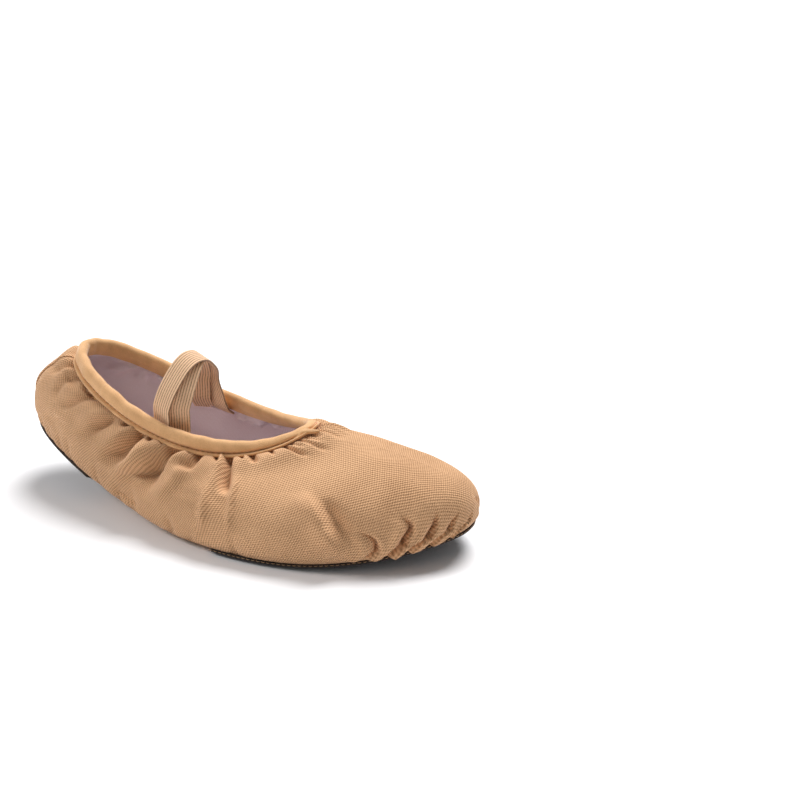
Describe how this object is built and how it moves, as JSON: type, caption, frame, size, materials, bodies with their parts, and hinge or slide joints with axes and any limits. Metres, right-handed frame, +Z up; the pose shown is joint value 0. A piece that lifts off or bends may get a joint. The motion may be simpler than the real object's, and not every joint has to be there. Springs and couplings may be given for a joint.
{
  "type": "ballet slipper",
  "caption": "Soft canvas ballet slipper with a split suede sole, gathered knit-bound opening and crossed elastic straps.",
  "frame": {"origin": "on the ground under the middle of the shoe's bounding box", "axes": "+X to the toe, +Y to the inner side of the foot, +Z up; right-foot shoe"},
  "size_m": [0.2298, 0.0905, 0.0719],
  "materials": {
    "canvas": "matt cotton duck, visible plain weave",
    "lining": "matt cotton lining",
    "suede": "napped split suede",
    "foam": "soft felted foam",
    "sock": "matt cotton twill",
    "light_thread": "waxed sewing thread",
    "dark_thread": "sewing thread",
    "label_tape": "blank folded tape",
    "jersey": "smooth knit, slight sheen",
    "flat_elastic": "braided elastic",
    "tan_thread": "sewing thread",
    "ribbed_elastic": "ribbed elastic webbing"
  },
  "bodies": {
    "forefoot": {"vamp": "canvas", "vamp_lining": "lining", "front_outsole": "suede", "front_pad": "foam", "front_sock": "sock", "front_sole_stitching": "light_thread"},
    "rearfoot": {"lateral_quarter": "canvas", "medial_quarter": "canvas", "quarter_lining": "lining", "heel_strip": "canvas", "heel_outsole": "suede", "heel_pad": "foam", "heel_sock": "sock", "heel_sole_stitching": "light_thread", "heel_pad_stitching": "dark_thread", "label_tab": "label_tape", "arch_panel": "canvas", "arch_lining": "lining", "binding": "jersey", "topline_elastic": "flat_elastic", "binding_stitching": "tan_thread", "outer_tab_lateral": "ribbed_elastic", "outer_tab_medial": "ribbed_elastic", "inner_tab_lateral": "ribbed_elastic", "inner_tab_medial": "ribbed_elastic"},
    "strap_outer": {"strap_outer": "ribbed_elastic"},
    "strap_inner": {"strap_inner": "ribbed_elastic"}
  },
  "joints": [
    {"name": "arch_flex", "type": "hinge", "parent": "forefoot", "child": "rearfoot", "pos_m": [0.002, 0, 0.022], "axis": [0, -1, 0], "range_deg": [0, 40], "stiffness_Nm_per_rad": 1.2, "deforming": ["arch_panel", "arch_lining", "binding", "topline_elastic", "binding_stitching"]},
    {"name": "strap_outer_swing", "type": "hinge", "parent": "rearfoot", "child": "strap_outer", "pos_m": [-0.031, 0.00845, 0.051], "axis": [0.2588, 0.9659, 0], "range_deg": [-59, 31], "stiffness_Nm_per_rad": 0.02},
    {"name": "strap_inner_swing", "type": "hinge", "parent": "rearfoot", "child": "strap_inner", "pos_m": [-0.031, 0.00845, 0.051], "axis": [-0.2588, 0.9659, 0], "range_deg": [-59, 31], "stiffness_Nm_per_rad": 0.02}
  ]
}
